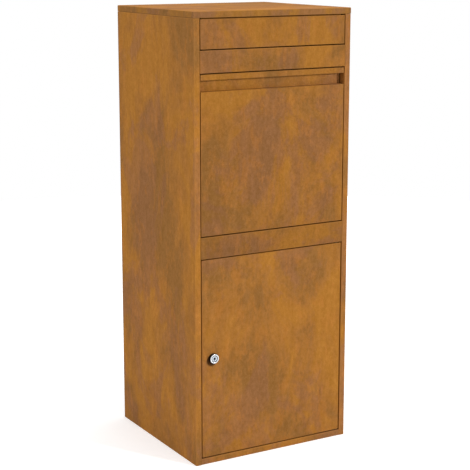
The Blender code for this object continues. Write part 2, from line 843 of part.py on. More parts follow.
def make_lock_plug(material):
    """Turning core of the lock, with its keyway and the bore for the cam's screw."""
    front = -seam - bezel_length + plug_recess
    back = cam_front() - seam
    bore = cam_screw_radius + hole_clearance
    bore_end = back - cam_screw_length
    shape = [(0, front), (plug_radius - plug_recess, front), (plug_radius, front + plug_recess)]
    shape += [(plug_radius, back), (bore, back), (bore, bore_end), (0, bore_end)]
    profile = [(radius, lock_level(depth)) for radius, depth in shape]
    plug = turned("lock_plug", profile, (lock_x, lock_height), "y", material)
    sides = (lock_x - keyway_width / 2, lock_x + keyway_width / 2)
    ends = (lock_height - keyway_height / 2, lock_height + keyway_height / 2)
    slot = [(sides[0], ends[0]), (sides[1], ends[0]), (sides[1], ends[1]), (sides[0], ends[1])]
    tool = prism("cut_keyway", slot, lock_level(front - sheet), lock_level(front + keyway_depth), "y", None)
    boolean(plug, tool, "DIFFERENCE")
    return plug


def make_lock_cam(material):
    """Flat cam that hangs down when unlocked and turns behind the left return to lock."""
    half = cam_width / 2
    outline = []
    for step in range(round_steps // 2 + 1):
        angle = math.pi * step / (round_steps // 2)
        outline.append((lock_x + half * math.cos(angle), lock_height + half * math.sin(angle)))
    tip = lock_height - cam_length
    chamfer = half / 2
    outline += [(lock_x - half, tip + chamfer), (lock_x - half + chamfer, tip)]
    outline += [(lock_x + half - chamfer, tip), (lock_x + half, tip + chamfer)]
    low = lock_level(cam_front())
    high = lock_level(cam_front() + cam_thickness)
    cam = prism("lock_cam", outline, low, high, "y", material)
    drill(cam, "cam_hole", cam_screw_radius + hole_clearance, [(lock_x, lock_height)],
          low - sheet, high + sheet, "y")
    return cam


def make_cam_screw(material):
    head = cam_front() + cam_thickness + seam
    head_end = head + cam_screw_head_length
    shank_end = cam_front() - cam_screw_length + cam_screw_radius
    shape = [(0, shank_end), (cam_screw_radius, shank_end), (cam_screw_radius, head)]
    shape += [(cam_screw_head_radius, head), (cam_screw_head_radius, head_end - cam_screw_radius / 2)]
    shape += [(cam_screw_head_radius * 0.8, head_end), (0, head_end)]
    profile = [(radius, lock_level(depth)) for radius, depth in shape]
    return turned("cam_screw", profile, (lock_x, lock_height), "y", material, small_round_steps)


def main():
    clear_scene()
    rust = steel("rusted_sheet", (0.33, 0.145, 0.047), 0.85, 0.1)
    bare = steel("bare_steel", (0.42, 0.40, 0.38), 0.4, 1.0)
    plated = steel("polished_chrome", (0.75, 0.74, 0.72), 0.12, 1.0)

    make_side(-1, rust)
    make_side(1, rust)
    make_back_panel(rust)
    make_floor_pan(rust)
    make_top_cap(rust)
    make_letter_stop(rust)
    make_upper_rail(rust)
    make_middle_rail(rust)
    make_letter_chute(rust)
    make_retrieval_guard(rust)
    make_letter_rod(bare)
    make_cap_screws(bare)

    letter_axis = (0, inward(letter_rod_from_front), letter_rod_z)
    body_axis("letter_flap_axis", letter_axis, [make_letter_flap(rust)])

    hopper = [make_parcel_flap(rust), make_hopper_floor(rust)]
    for hand in (-1, 1):
        hopper.append(make_hopper_cheek(hand, rust))
        hopper.append(make_parcel_pin(hand, bare))
        hopper.append(make_pin_clip(hand, bare))
    hopper += make_hopper_rivets(bare)
    body_axis("parcel_flap_axis", (0, inward(parcel_pivot_from_front), parcel_pivot_z), hopper)

    door = [make_door_panel(rust), make_door_stiffener(rust)]
    door += [make_lock_body(plated), make_lock_nut(bare)]
    door += make_door_pins(bare)
    body_axis("door_axis", (door_pivot_x, inward(door_pivot_depth), 0), door)

    core = [make_lock_plug(plated), make_lock_cam(bare), make_cam_screw(bare)]
    body_axis("lock_axis", (lock_x, lock_level(0), lock_height), core)


main()
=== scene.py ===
import math

import bpy
import numpy as np
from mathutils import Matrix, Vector


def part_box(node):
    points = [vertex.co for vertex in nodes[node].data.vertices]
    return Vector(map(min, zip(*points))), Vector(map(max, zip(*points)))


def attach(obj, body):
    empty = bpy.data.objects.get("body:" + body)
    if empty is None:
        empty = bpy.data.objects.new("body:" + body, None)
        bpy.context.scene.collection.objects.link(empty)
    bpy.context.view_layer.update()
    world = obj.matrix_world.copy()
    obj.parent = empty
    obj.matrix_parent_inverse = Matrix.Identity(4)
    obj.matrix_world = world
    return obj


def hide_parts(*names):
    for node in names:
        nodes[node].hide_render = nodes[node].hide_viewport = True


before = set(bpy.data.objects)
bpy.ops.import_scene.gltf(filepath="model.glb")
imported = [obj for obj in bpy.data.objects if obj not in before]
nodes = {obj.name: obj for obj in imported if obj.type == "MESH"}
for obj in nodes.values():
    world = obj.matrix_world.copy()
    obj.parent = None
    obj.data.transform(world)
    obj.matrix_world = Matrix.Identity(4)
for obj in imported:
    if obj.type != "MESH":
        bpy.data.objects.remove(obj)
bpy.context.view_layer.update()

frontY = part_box("left_side")[0].y
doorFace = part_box("door_panel")[0].y
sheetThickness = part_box("back_panel")[1].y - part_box("back_panel")[0].y
crispFrom = math.radians(35.0)  # an edge that turns by more than this stays crisp


# Numpy surfaces

def gridFaces(rows, columns, wrapColumns=False):
    # Quads of a grid stored row by row; a wrapped grid closes on its first column.
    row = np.arange(rows - 1)[:, None]
    column = np.arange(columns if wrapColumns else columns - 1)[None, :]
    nextColumn = (column + 1) % columns
    corners = [row * columns + column, row * columns + nextColumn]
    corners += [(row + 1) * columns + nextColumn, (row + 1) * columns + column]
    return np.stack(corners, axis=-1).reshape(-1, 4)


def meshPiece(name, points, faces, material):
    mesh = bpy.data.meshes.new(name)
    mesh.from_pydata(points.tolist(), [], [list(face) for face in faces])
    mesh.materials.append(material)
    mesh.validate()
    mesh.shade_smooth()
    mesh.set_sharp_from_angle(angle=crispFrom)
    piece = bpy.data.objects.new(name, mesh)
    bpy.context.scene.collection.objects.link(piece)
    return piece


def facesOutward(piece):
    # A closed mesh whose signed volume is negative is turned inside out.
    mesh = piece.data
    mesh.calc_loop_triangles()
    corners = np.zeros(len(mesh.vertices) * 3)
    mesh.vertices.foreach_get("co", corners)
    corners = corners.reshape(-1, 3)
    triangles = np.zeros(len(mesh.loop_triangles) * 3, dtype=np.int32)
    mesh.loop_triangles.foreach_get("vertices", triangles)
    a, b, c = (corners[triangles.reshape(-1, 3)[:, side]] for side in range(3))
    if np.einsum("ij,ij->i", a, np.cross(b, c)).sum() < 0:
        mesh.flip_normals()


def applyModifiers(piece):
    # The evaluated mesh takes the place of the live modifiers.
    bpy.context.view_layer.update()
    evaluated = piece.evaluated_get(bpy.context.evaluated_depsgraph_get())
    finished = bpy.data.meshes.new_from_object(evaluated)
    piece.modifiers.clear()
    piece.data = finished
    finished.shade_smooth()
    finished.set_sharp_from_angle(angle=crispFrom)


def cutHoles(piece, cutters):
    for cutter in cutters:
        modifier = piece.modifiers.new("hole", "BOOLEAN")
        modifier.object = cutter
        modifier.operation = "DIFFERENCE"
        modifier.solver = "EXACT"
        modifier.material_mode = "TRANSFER"
    applyModifiers(piece)
    for cutter in cutters:
        bpy.data.objects.remove(cutter)


def turnedSurface(profile, centre, axis, steps):
    # Point (k, angle): radius k of the profile at the angle round the axis, at level k along it.
    angle = np.linspace(0.0, 2.0 * np.pi, steps, endpoint=False)[None, :]
    level = profile[:, 1:] + 0.0 * angle
    across = centre[0] + profile[:, :1] * np.cos(angle)
    up = centre[1] + profile[:, :1] * np.sin(angle)
    order = {"x": (level, across, up), "y": (across, level, up), "z": (across, up, level)}
    return np.stack(order[axis], axis=-1).reshape(-1, 3)


def turnedPiece(name, profile, centre, axis, material, steps):
    # A turned surface whose two ends are each closed by one round face.
    points = turnedSurface(profile, centre, axis, steps)
    rows = len(profile)
    faces = [list(face) for face in gridFaces(rows, steps, wrapColumns=True)]
    faces.append(list(range(steps))[::-1])
    faces.append([(rows - 1) * steps + step for step in range(steps)])
    piece = meshPiece(name, points, faces, material)
    facesOutward(piece)
    return piece


# Node helpers

def newMaterial(name):
    material = bpy.data.materials.new(name)
    material.use_nodes = True
    tree = material.node_tree
    return material, tree, tree.nodes["Principled BSDF"]


def addNode(tree, kind, **settings):
    node = tree.nodes.new(kind)
    for key, value in settings.items():
        setattr(node, key, value)
    return node


def noiseField(tree, coordinates, offset, stretch, scale, detail, roughness, distortion=0.0):
    # Noise on object coordinates, drawn out along the axes by stretch and moved by offset.
    mapping = addNode(tree, "ShaderNodeMapping")
    mapping.inputs["Location"].default_value = offset
    mapping.inputs["Scale"].default_value = stretch
    tree.links.new(coordinates, mapping.inputs["Vector"])
    noise = addNode(tree, "ShaderNodeTexNoise")
    noise.inputs["Scale"].default_value = scale
    noise.inputs["Detail"].default_value = detail
    noise.inputs["Roughness"].default_value = roughness
    noise.inputs["Distortion"].default_value = distortion
    tree.links.new(mapping.outputs["Vector"], noise.inputs["Vector"])
    return noise.outputs["Fac"]


def ramp(tree, value, stops):
    node = addNode(tree, "ShaderNodeValToRGB")
    elements = node.color_ramp.elements
    while len(elements) < len(stops):
        elements.new(0.5)
    for element, (place, colour) in zip(elements, stops):
        element.position = place
        element.color = (*colour, 1.0)
    tree.links.new(value, node.inputs["Fac"])
    return node.outputs["Color"]


def grey(level):
    return (level, level, level)


def smoothStep(tree, value, start, end, low, high):
    # Runs smoothly from low at start to high at end, and stays level beyond them.
    node = addNode(tree, "ShaderNodeMapRange", interpolation_type="SMOOTHSTEP")
    node.inputs["From Min"].default_value = start
    node.inputs["From Max"].default_value = end
    node.inputs["To Min"].default_value = low
    node.inputs["To Max"].default_value = high
    tree.links.new(value, node.inputs["Value"])
    return node.outputs["Result"]


def maths(tree, operation, first, second):
    node = addNode(tree, "ShaderNodeMath", operation=operation)
    for socket, value in zip(node.inputs, (first, second)):
        if isinstance(value, float):
            socket.default_value = value
        else:
            tree.links.new(value, socket)
    return node.outputs[0]


def laidOver(tree, mode, amount, colour, tone):
    # One plain tone mixed into a colour, or multiplied with it, as far as the amount says.
    node = addNode(tree, "ShaderNodeMix", data_type="RGBA", blend_type=mode)
    tree.links.new(amount, node.inputs["Factor"])
    tree.links.new(colour, node.inputs["A"])
    node.inputs["B"].default_value = (*tone, 1.0)
    return node.outputs["Result"]


def multiplied(tree, first, second):
    node = addNode(tree, "ShaderNodeMix", data_type="RGBA", blend_type="MULTIPLY")
    node.inputs["Factor"].default_value = 1.0
    tree.links.new(first, node.inputs["A"])
    tree.links.new(second, node.inputs["B"])
    return node.outputs["Result"]


# Rust

rustTones = {
    "shade": (0.256, 0.113, 0.027),
    "body": (0.322, 0.133, 0.026),
    "warm": (0.364, 0.149, 0.021),
    "bloom": (0.250, 0.108, 0.048),
    "ember": (0.425, 0.158, 0.028),
    # edge: folds rubbed lighter, partly wear and partly a painted highlight
    "edge": (0.470, 0.215, 0.055),
    "cloudPlaces": ((0.42, "shade"), (0.50, "body"), (0.58, "warm")),
    "bloomRamp": (0.50, 0.555, 0.50),  # where it starts, where it is full, and how much that is
    "emberRamp": (0.53, 0.61, 0.33),
    "streaksDepth": 0.07,
    "specksDepth": 0.13,
    "grainDepth": 0.11,
    "swingPlaces": (0.30, 0.70),
    "swingShares": (1.0, 1.15, 2.2),  # of the depth in red, green and blue
    "edgeWidth": 0.0035,
    "edgeFrom": 0.4,  # in edge widths
    "edgeTo": 1.1,
    "edgeShare": 0.45,
    "roughPlaces": (0.35, 0.65),
    "roughness": (0.92, 0.76),
    "specular": 0.10,
    "bumpStrength": 0.5,
    "bumpDepth": 0.00035,
}
rustNoises = {
    "clouds": {"scale": 7.0, "stretch": (1.0, 1.0, 0.6), "detail": 6.0, "roughness": 0.65,
               "distortion": 0.5},
    "blooms": {"scale": 6.5, "stretch": (1.0, 1.0, 0.6), "detail": 6.0, "roughness": 0.64,
               "distortion": 0.6},
    "embers": {"scale": 44.0, "stretch": (1.0, 1.0, 0.45), "detail": 6.0, "roughness": 0.72,
               "distortion": 0.3},
    "streaks": {"scale": 75.0, "stretch": (1.0, 1.0, 0.16), "detail": 4.0, "roughness": 0.62},
    "specks": {"scale": 150.0, "stretch": (1.0, 1.0, 0.7), "detail": 5.0, "roughness": 0.7},
    "grain": {"scale": 480.0, "stretch": (1.0, 1.0, 0.9), "detail": 3.0, "roughness": 0.7},
}


def swing(tree, value, depth):
    # Tint that runs from 1 - depth to 1 + depth between the swing's places, more so in blue, so that
    # it lightens and darkens without a change of hue.
    low = tuple(1.0 - share * depth for share in rustTones["swingShares"])
    high = tuple(1.0 + share * depth for share in rustTones["swingShares"])
    return ramp(tree, value, list(zip(rustTones["swingPlaces"], (low, high))))


def toned(colour, tone):
    return tuple(tone * part for part in colour)


def edgeDistance(tree, coordinates, low, high):
    # On a shell shaped like its own box, the middle one of the three distances to the box's faces
    # is the distance to the nearest fold.
    split = addNode(tree, "ShaderNodeSeparateXYZ")
    tree.links.new(coordinates, split.inputs[0])
    gaps = []
    for axis in range(3):
        centre = (low[axis] + high[axis]) / 2
        half = (high[axis] - low[axis]) / 2
        away = maths(tree, "ABSOLUTE", maths(tree, "SUBTRACT", split.outputs[axis], centre), 0.0)
        gaps.append(maths(tree, "SUBTRACT", half, away))
    small = maths(tree, "MINIMUM", gaps[0], gaps[1])
    large = maths(tree, "MAXIMUM", gaps[0], gaps[1])
    return maths(tree, "MAXIMUM", small, maths(tree, "MINIMUM", large, gaps[2]))


def paintedLightZone(tree, coordinates, colour, axis, operation, level, tint):
    # Painted shade and painted light on one part of a sheet: beyond a level along one axis it takes a
    # tint.
    split = addNode(tree, "ShaderNodeSeparateXYZ")
    tree.links.new(coordinates, split.inputs[0])
    inside = maths(tree, operation, split.outputs[axis], level)
    return laidOver(tree, "MULTIPLY", inside, colour, tint)


def paintedShadowRound(tree, coordinates, colour, centre, inner, outer, tint):
    # Painted shadow round a fitting: full tint within the inner distance, none beyond the outer one.
    away = addNode(tree, "ShaderNodeVectorMath", operation="DISTANCE")
    tree.links.new(coordinates, away.inputs[0])
    away.inputs[1].default_value = centre
    amount = smoothStep(tree, away.outputs["Value"], inner, outer, 1.0, 0.0)
    return laidOver(tree, "MULTIPLY", amount, colour, tint)


def rustFinish(name, offset, tone, low, high, paintedZones, paintedShadows):
    # Soft ochre and brown clouds, greyish bloom, small warm flecks, upright run marks and fine grain,
    # with folds rubbed lighter (partly wear, partly a painted highlight), then the sheet's zones of
    # painted shade and painted light, and painted shadows.
    material, tree, shader = newMaterial(name)
    tones = rustTones
    coordinates = addNode(tree, "ShaderNodeTexCoord").outputs["Object"]
    turned = (offset[2], offset[0], offset[1])
    noises = {}
    for key, noise in rustNoises.items():
        place = turned if key in ("blooms", "specks") else offset
        noises[key] = noiseField(tree, coordinates, place, **noise)
    stops = [(place, toned(tones[key], tone)) for place, key in tones["cloudPlaces"]]
    colour = ramp(tree, noises["clouds"], stops)
    for key in ("bloom", "ember"):
        start, end, share = tones[key + "Ramp"]
        amount = ramp(tree, noises[key + "s"], [(start, grey(0.0)), (end, grey(share))])
        colour = laidOver(tree, "MIX", amount, colour, toned(tones[key], tone))
    for key in ("streaks", "specks", "grain"):
        colour = multiplied(tree, colour, swing(tree, noises[key], tones[key + "Depth"]))
    # Folds rubbed lighter: partly wear, partly a painted highlight along the folds.
    fold = edgeDistance(tree, coordinates, low, high)
    width = tones["edgeWidth"]
    ragged = maths(tree, "ADD", fold, maths(tree, "MULTIPLY", noises["specks"], width))
    start, end = width * tones["edgeFrom"], width * tones["edgeTo"]
    rubbedAndHighlit = smoothStep(tree, ragged, start, end, tones["edgeShare"], 0.0)
    colour = laidOver(tree, "MIX", rubbedAndHighlit, colour, tones["edge"])
    # Zones of painted shade and painted light.
    for paintedZone in paintedZones:
        colour = paintedLightZone(tree, coordinates, colour, *paintedZone)
    # Painted shadows round fittings.
    for paintedShadow in paintedShadows:
        colour = paintedShadowRound(tree, coordinates, colour, *paintedShadow)
    tree.links.new(colour, shader.inputs["Base Color"])
    levels = [grey(level) for level in tones["roughness"]]
    rough = ramp(tree, noises["clouds"], list(zip(tones["roughPlaces"], levels)))
    tree.links.new(rough, shader.inputs["Roughness"])
    shader.inputs["Metallic"].default_value = 0.0
    shader.inputs["Specular IOR Level"].default_value = tones["specular"]
    bump = addNode(tree, "ShaderNodeBump")
    bump.inputs["Strength"].default_value = tones["bumpStrength"]
    bump.inputs["Distance"].default_value = tones["bumpDepth"]
    tree.links.new(maths(tree, "ADD", noises["grain"], noises["specks"]), bump.inputs["Height"])
    tree.links.new(bump.outputs["Normal"], shader.inputs["Normal"])
    return material


# Each sheet reads the noises from a place of its own.
rustOffsets = {
    "left_side": (0.13, 0.41, 0.27),
    "right_side": (0.71, 0.22, 0.90),
    "back_panel": (0.36, 0.87, 0.52),
    "floor_pan": (0.58, 0.15, 0.33),
    "top_cap": (0.94, 0.63, 0.18),
    "upper_rail": (0.25, 0.74, 0.61),
    "middle_rail": (0.82, 0.39, 0.07),
    "letter_flap": (0.47, 0.56, 0.79),
    "parcel_flap": (0.19, 0.93, 0.44),
    "door_panel": (0.66, 0.31, 0.85),
    "letter_chute": (0.53, 0.08, 0.69),
    "retrieval_guard": (0.02, 0.50, 0.24),
    "letter_stop": (0.88, 0.76, 0.35),
    "door_stiffener": (0.15, 0.28, 0.73),
    "hopper_floor": (0.41, 0.67, 0.96),
    "hopper_cheek_left": (0.30, 0.19, 0.11),
    "hopper_cheek_right": (0.77, 0.84, 0.58),
}
# How light a sheet is against the others, which stand at 1. The letter stop's low level is painted
# shade: it sits behind the gap under the cap.
rustLevelsAndShade = {"parcel_flap": 0.87, "upper_rail": 0.875, "middle_rail": 0.79, "letter_flap": 0.855,
              "door_panel": 0.955, "top_cap": 1.07, "letter_stop": 0.55}

zoneSettings = {
    "gapShadeTint": (0.92, 0.84, 0.52),  # painted shade on the flanges that line the gaps
    "gapDepth": 0.0024,
    "bandInset": 0.0003,
    "undersideRise": 0.0004,
    "seamShadeTint": (0.66, 0.60, 0.42),  # painted shade on the ends of the rails, along the bands
    "seamWidth": 0.0009,
    # painted shade: the cap's skirt darker than its top
    "skirtShadeTint": (0.76, 0.80, 0.92),
    "skirtDrop": 0.0009,
    # painted light that lifts the back of the parcel flap's recess out of its shade
    "recessLightTint": (1.22, 1.26, 1.45),
    "recessDepth": 0.004,
    "lockShadowTint": (0.20, 0.18, 0.20),  # painted shadow below the lock
    "lockShadowShift": (-0.0035, 0.0, -0.0055),
    "lockShadowReach": (0.0105, 0.0160),
}
capLow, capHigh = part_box("top_cap")
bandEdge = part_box("right_side")[0].x + zoneSettings["bandInset"]
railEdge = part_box("upper_rail")[1].x - zoneSettings["seamWidth"]
gapShadeTint = zoneSettings["gapShadeTint"]
# Painted shade on the sheets that lie behind the front face, inside the gaps.
shadeBehindFace = (1, "GREATER_THAN", frontY + zoneSettings["gapDepth"], gapShadeTint)
# Painted shade on the rails' ends beside the seams with the side bands.
shadeBesideSeam = [(0, "GREATER_THAN", railEdge, zoneSettings["seamShadeTint"]),
              (0, "LESS_THAN", -railEdge, zoneSettings["seamShadeTint"])]
# Per sheet: painted shade in gaps, at seams, under and on the cap's skirt; painted light in the recess.
paintedLightZones = {
    "parcel_flap": [(1, "GREATER_THAN", frontY + zoneSettings["recessDepth"], zoneSettings["recessLightTint"])],
    "top_cap": [(2, "LESS_THAN", capHigh.z - zoneSettings["skirtDrop"], zoneSettings["skirtShadeTint"]),
                (2, "LESS_THAN", capLow.z + zoneSettings["undersideRise"], gapShadeTint)],
    "left_side": [(0, "GREATER_THAN", -bandEdge, gapShadeTint)],
    "right_side": [(0, "LESS_THAN", bandEdge, gapShadeTint)],
    "upper_rail": [shadeBehindFace] + shadeBesideSeam,
    "middle_rail": [shadeBehindFace] + shadeBesideSeam,
    "letter_stop": [shadeBehindFace],
    "letter_flap": [shadeBehindFace],
    "door_panel": [shadeBehindFace],
}
# Painted shadow of the lock on the door's face, below and left of the lock.
lockLow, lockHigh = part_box("lock_body")
lockShadowCentre = (lockLow + lockHigh) / 2 + Vector(zoneSettings["lockShadowShift"])
lockShadowCentre.y = doorFace
lockShadows = {"door_panel": [(lockShadowCentre, *zoneSettings["lockShadowReach"], zoneSettings["lockShadowTint"])]}

rustMaterials = {}
for name, offset in rustOffsets.items():
    tone, paintedZones, paintedShadows = rustLevelsAndShade.get(name, 1.0), paintedLightZones.get(name, []), lockShadows.get(name, [])
    rustMaterials[name] = rustFinish("rust_" + name, offset, tone, *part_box(name), paintedZones, paintedShadows)


# Bare metal

metalTones = {
    "zincPlated": {"dark": (0.36, 0.34, 0.30), "light": (0.50, 0.48, 0.45), "roughness": (0.46, 0.32),
                   "scale": 160.0, "stretch": (1.0, 1.0, 1.0)},
    # stained metal whose near-black is also painted shade for the pins that sit in the gaps
    "stainedShadedPins": {"dark": (0.060, 0.035, 0.018), "light": (0.12, 0.07, 0.035), "roughness": (0.62, 0.50),
                    "scale": 240.0, "stretch": (1.0, 1.0, 1.0)},
    "lockChrome": {"dark": (0.62, 0.64, 0.67), "light": (0.78, 0.79, 0.80), "roughness": (0.16, 0.09),
                   "scale": 420.0, "stretch": (1.0, 1.0, 0.3)},
    "lockCoreChrome": {"dark": (0.42, 0.47, 0.53), "light": (0.52, 0.57, 0.63), "roughness": (0.22, 0.14),
                       "scale": 420.0, "stretch": (1.0, 1.0, 1.0)},
    # lockShade: painted dark reflection on the bezel's side and rim, painted shade in dish, keyway, bevels
    "lockShade": {"dark": (0.020, 0.020, 0.022), "light": (0.040, 0.038, 0.038), "roughness": (0.34, 0.24),
                  "scale": 300.0, "stretch": (1.0, 1.0, 1.0)},
}
metalNoise = {"offset": (0.3, 0.1, 0.2), "detail": 4.0, "roughness": 0.6}
metalPlaces = (0.3, 0.7)


def metalFinish(name):
    # Bare metal whose tint and roughness vary together with a fine cloud.
    material, tree, shader = newMaterial(name)
    tones = metalTones[name]
    coordinates = addNode(tree, "ShaderNodeTexCoord").outputs["Object"]
    cloud = noiseField(tree, coordinates, stretch=tones["stretch"], scale=tones["scale"], **metalNoise)
    colour = ramp(tree, cloud, list(zip(metalPlaces, (tones["dark"], tones["light"]))))
    tree.links.new(colour, shader.inputs["Base Color"])
    rough = ramp(tree, cloud, list(zip(metalPlaces, [grey(level) for level in tones["roughness"]])))
    tree.links.new(rough, shader.inputs["Roughness"])
    shader.inputs["Metallic"].default_value = 1.0
    return material


zinc = metalFinish("zincPlated")
stainedAndShaded = metalFinish("stainedShadedPins")
chrome = metalFinish("lockChrome")
coreChrome = metalFinish("lockCoreChrome")
lockShade = metalFinish("lockShade")

# Pins, rod and clips in the gaps: stained, and darkened as painted shade.
stainedShadedNodes = ("letter_flap_rod", "door_pin_top", "door_pin_bottom", "parcel_pin_left",
                "parcel_pin_right", "pin_clip_left", "pin_clip_right")
for name, node in nodes.items():
    finish = rustMaterials.get(name, zinc)
    if name in stainedShadedNodes:
        finish = stainedAndShaded
    if name in ("lock_body", "lock_plug"):
        finish = chrome
    node.data.materials.clear()
    node.data.materials.append(finish)
print("finishes on the packed pieces")


# Lock

lockSettings = {
    "steps": 96,
    "barrelStep": 0.002,  # the barrel is thinner than the bezel by this
    "seatGap": 0.0003,
    "plugPlay": 0.0002,
    "rimRadius": 0.0016,
    "rimSteps": 8,
    "rimStep": 0.0002,
    "faceDip": 0.00015,
    "chamfer": 0.0009,
    "darkRows": 6,
    "dishRadius": 0.0030,
    "dishDepth": 0.0011,
    "dishShares": (0.25, 0.85),  # where its floor starts and ends, in dish radii
    "ringSteps": 6,
    "ringHeight": 0.00024,
    "bevelDepth": 0.0006,
    "bevelDrop": 0.0010,
    "backShare": 0.2,  # of the radius, where the back's round face starts
    "keyWidth": 0.0019,
    "keyHeight": 0.0084,
    "keyDepth": 0.0055,
    "keyLead": 0.001,
    "keyTilt": 20.0,
    "keyOutline": ((-1, -1), (1, -1), (1, 0.1), (1.7, 0.3), (1.7, 0.6), (1, 0.8), (1, 1), (-1, 1)),
}


def roundNode(node):
    # Centre of a round node that lies along Y, its radius, and its front and back.
    low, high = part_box(node)
    centre = ((low.x + high.x) / 2, (low.z + high.z) / 2)
    return centre, (high.x - low.x) / 2, low.y, high.y


def paintRows(piece, steps, rowsOfSlot):
    # Faces come row by row along the profile; each material slot lists its rows.
    row = np.arange(len(piece.data.polygons)) // steps
    slots = np.zeros(len(row), dtype=np.int32)
    for slot, rows in rowsOfSlot.items():
        slots[np.isin(row, rows)] = slot
    piece.data.polygons.foreach_set("material_index", slots)


def makeBezel():
    # Turned ring: barrel, flat seat, side, quarter-round rim, flat face and a chamfer to the bore.
    # The side and most of the rim are dark as a painted dark reflection, the chamfer as painted shade;
    # the barrel and the bore are zinc.
    settings = lockSettings
    centre, radius, front, back = roundNode("lock_body")
    bore = roundNode("lock_plug")[1] + settings["plugPlay"]
    barrel, seat = radius - settings["barrelStep"], doorFace - settings["seatGap"]
    rim, chamfer = settings["rimRadius"], settings["chamfer"]
    turn = np.linspace(0.0, np.pi / 2, settings["rimSteps"] + 1)
    shaft = [(bore, back), (barrel, back), (barrel, seat), (radius, seat)]
    curve = np.stack([radius - rim + rim * np.cos(turn), front + rim - rim * np.sin(turn)], axis=-1)
    face = [(radius - rim - settings["rimStep"], front), (bore + chamfer, front + settings["faceDip"]),
            (bore, front + chamfer)]
    profile = np.concatenate([shaft, curve, face])
    rows, steps = len(profile), settings["steps"]
    points = turnedSurface(profile, centre, "y", steps)
    ringRows = np.concatenate([np.arange(rows), [0]])
    faces = gridFaces(rows + 1, steps, wrapColumns=True)
    faces = ringRows[faces // steps] * steps + faces % steps
    piece = meshPiece("lockBezel", points, faces, chrome)
    piece.data.materials.append(lockShade)
    piece.data.materials.append(zinc)
    sideRow = len(shaft) - 1
    darkRows = list(range(sideRow, sideRow + settings["darkRows"])) + [rows - 2]
    paintRows(piece, steps, {1: darkRows, 2: [0, 1, 2, rows - 1]})
    facesOutward(piece)
    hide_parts("lock_body")
    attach(piece, "door_body")


def makePlug():
    # Turned core: a dished middle, a ring raised as half a sine wave round it, and a chamfered edge.
    # The tilted keyway is cut out of it.
    settings = lockSettings
    centre, radius, front, back = roundNode("lock_plug")
    dish, height = settings["dishRadius"], settings["ringHeight"]
    inside, outside = (dish * share for share in settings["dishShares"])
    chamfered = radius - settings["bevelDepth"]
    swell = np.linspace(0.0, np.pi, settings["ringSteps"] + 1)[1:-1]
    middle, half = (dish + chamfered) / 2, (chamfered - dish) / 2
    floor = front + settings["dishDepth"]
    hollow = [(inside, floor), (outside, floor), (dish, front + height)]
    ring = np.stack([middle - half * np.cos(swell), front + height * (1.0 - np.sin(swell))], axis=-1)
    edge = [(chamfered, front + height), (radius, front + settings["bevelDrop"]), (radius, back),
            (radius * settings["backShare"], back)]
    profile = np.concatenate([hollow, ring, edge])
    piece = turnedPiece("lockCore", profile, centre, "y", coreChrome, settings["steps"])
    # The dish, the edge's bevel and, through the cutter, the keyway walls are dark: painted shade.
    piece.data.materials.append(lockShade)
    paintRows(piece, settings["steps"], {1: [0, 1, len(profile) - len(edge)]})
    piece.data.polygons[-2].material_index = 1  # the dish's floor, painted shade
    tilt = math.radians(settings["keyTilt"])
    turn = np.array([[math.cos(tilt), -math.sin(tilt)], [math.sin(tilt), math.cos(tilt)]])
    size = np.array([settings["keyWidth"], settings["keyHeight"]]) / 2
    outline = np.array(settings["keyOutline"]) * size @ turn + centre
    across, up = outline.T[:, None, :]
    level = np.array([front - settings["keyLead"], front + settings["keyDepth"]])[:, None]
    points = np.stack(np.broadcast_arrays(across, level, up), axis=-1).reshape(-1, 3)
    count = len(outline)
    faces = [list(face) for face in gridFaces(2, count, wrapColumns=True)]
    faces += [list(range(count))[::-1], list(range(count, 2 * count))]
    cutter = meshPiece("keyway", points, faces, lockShade)
    facesOutward(cutter)
    cutHoles(piece, [cutter])
    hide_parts("lock_plug")
    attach(piece, "lock_core")


makeBezel()
makePlug()
print("lock")


# Door

doorSettings = {
    "foldRadius": 0.0016,
    "foldSteps": 7,
    "flangeSteps": 3,
    "faceLines": (34, 42),  # grid lines across and up
    "swell": 0.00016,
    "swellTurns": (1.5, 2.5),  # waves across and up
    "swellPhases": (0.6, 0.3),
    "fadePower": 4,  # the higher, the nearer to the folds the swell goes on
    "lockHole": 0.0098,
    "lockHoleReach": (-0.002, 0.004),
    "pinHole": 0.0028,
    "pinHoleReach": (-0.002, 0.002),
    "holeSteps": 48,
}


def foldPath(radius, depth, bendSteps, flatSteps):
    # Sheet from the face round a quarter bend and straight back: how far out, and how far back.
    turn = np.linspace(0.0, np.pi / 2, bendSteps + 1)
    flat = np.linspace(radius, depth, flatSteps + 1)[1:]
    out = np.concatenate([radius * np.sin(turn), np.full(flatSteps, radius)])
    back = np.concatenate([radius * (1.0 - np.cos(turn)), flat])
    return out, back


def panSurface(halfWidth, halfHeight, out, back, lines):
    # Grid over the face and its four flanges. On the face the fold index is 0; beyond it the larger
    # of the two fold indices says how far round the fold a point is, and their ratio its direction,
    # made a unit vector so that the corners are round.
    folds = len(out) - 1
    flatU = np.linspace(-1.0, 1.0, lines[0]) * (halfWidth - out[-1])
    flatV = np.linspace(-1.0, 1.0, lines[1]) * (halfHeight - out[-1])
    steps = np.arange(1, folds + 1)
    foldU = np.concatenate([-steps[::-1], np.zeros(lines[0]), steps])
    foldV = np.concatenate([-steps[::-1], np.zeros(lines[1]), steps])
    u = np.pad(flatU, folds, mode="edge")[:, None] + 0.0 * foldV[None, :]
    v = np.pad(flatV, folds, mode="edge")[None, :] + 0.0 * foldU[:, None]
    alongU = foldU[:, None] + 0.0 * foldV[None, :]
    alongV = foldV[None, :] + 0.0 * foldU[:, None]
    index = np.maximum(np.abs(alongU), np.abs(alongV)).astype(int)
    length = np.maximum(np.hypot(alongU, alongV), 1e-9)  # never zero, to divide by it
    u = u + alongU / length * out[index]
    v = v + alongV / length * out[index]
    return u, v, back[index]


